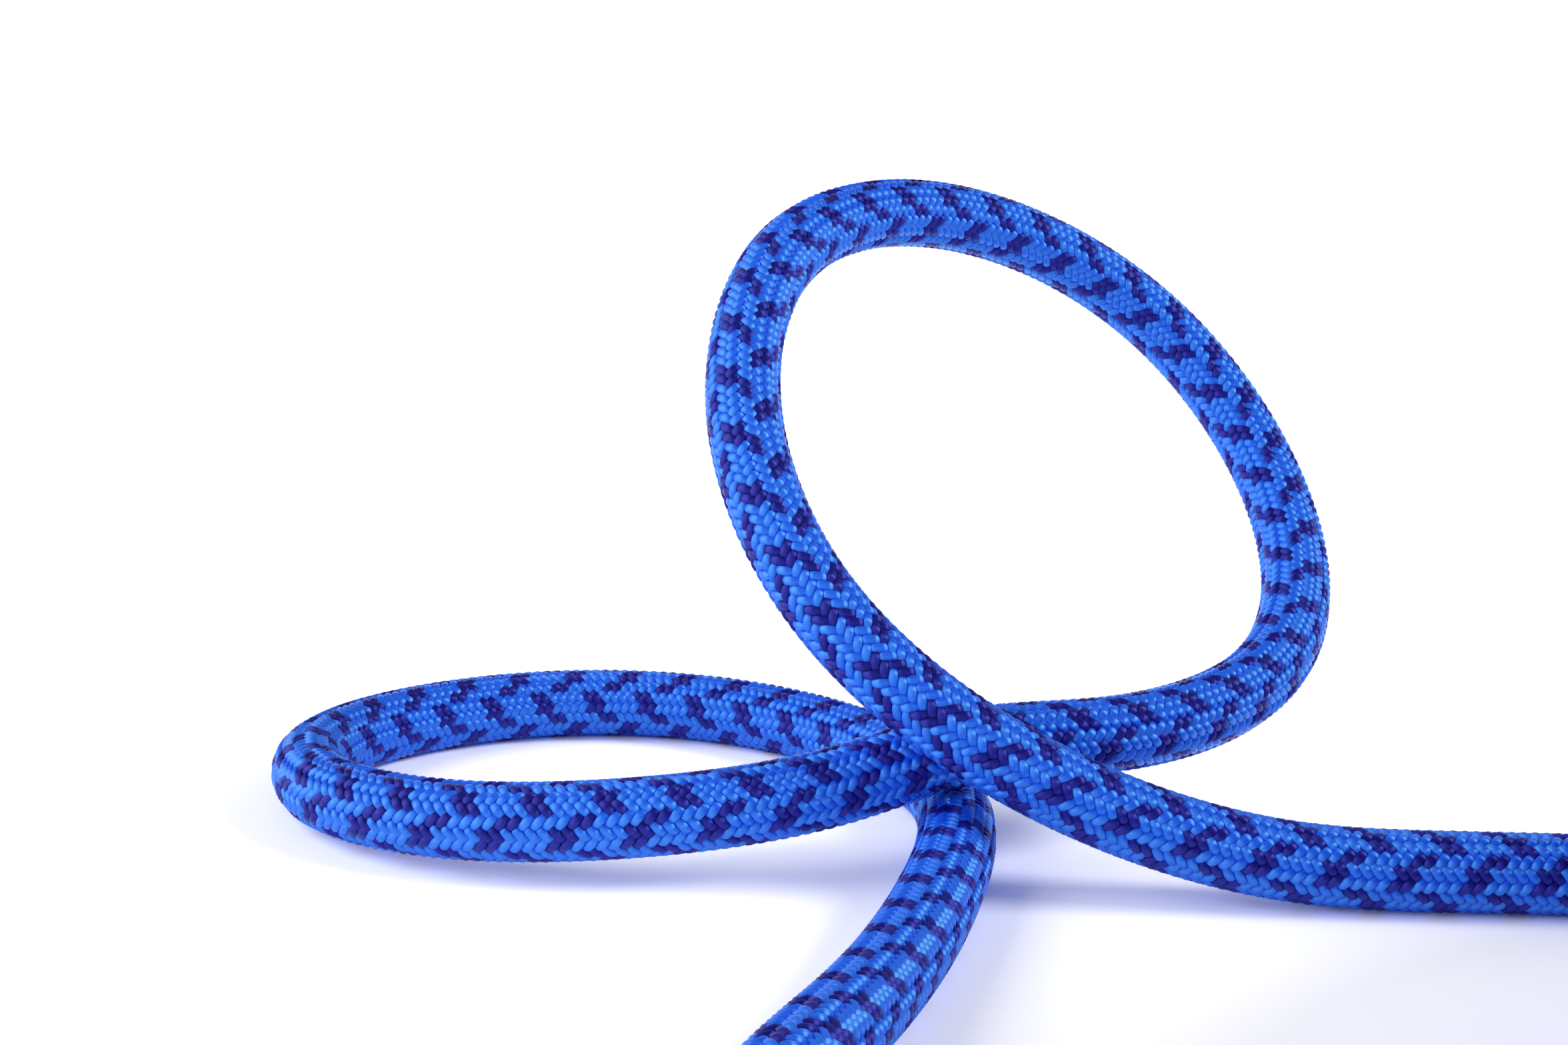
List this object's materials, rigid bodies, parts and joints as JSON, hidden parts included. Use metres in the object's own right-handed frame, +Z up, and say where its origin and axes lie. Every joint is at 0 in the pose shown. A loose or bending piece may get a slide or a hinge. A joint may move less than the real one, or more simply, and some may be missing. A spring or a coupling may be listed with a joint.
{
  "type": "dynamic climbing rope",
  "caption": "Kernmantle climbing rope: braided sheath over core strands and a marker tape, laid in an open loop that runs into a tied coil.",
  "frame": {"origin": "on the surface that the rope lies on, under the middle of coil_tie_1", "axes": "+X along the rope's straight lead into the coil, +Y from the loose front end towards the standing loop, +Z up"},
  "size_m": [0.3494, 0.299, 0.0838],
  "materials": {
    "sheath_yarn": "braided, glossy filaments",
    "core_yarn": "twisted, plain",
    "marker_film": "smooth film",
    "tie_webbing": "woven, matt",
    "sleeve_film": "shrunk tube",
    "melted_yarn": "melted and set"
  },
  "bodies": {
    "root": {"sheath": "sheath_yarn", "core_strand_01": "core_yarn", "core_strand_02": "core_yarn", "core_strand_03": "core_yarn", "core_strand_04": "core_yarn", "core_strand_05": "core_yarn", "core_strand_06": "core_yarn", "core_strand_07": "core_yarn", "core_strand_08": "core_yarn", "core_strand_09": "core_yarn", "core_strand_10": "core_yarn", "core_strand_11": "core_yarn", "core_strand_12": "core_yarn", "marker_tape": "marker_film", "rope_coil": "sheath_yarn", "coil_tie_1": "tie_webbing", "coil_tie_2": "tie_webbing", "coil_tie_3": "tie_webbing", "end_sleeve_front": "sleeve_film", "end_sleeve_back": "sleeve_film", "end_seal_front": "melted_yarn", "end_seal_back": "melted_yarn"}
  },
  "joints": []
}
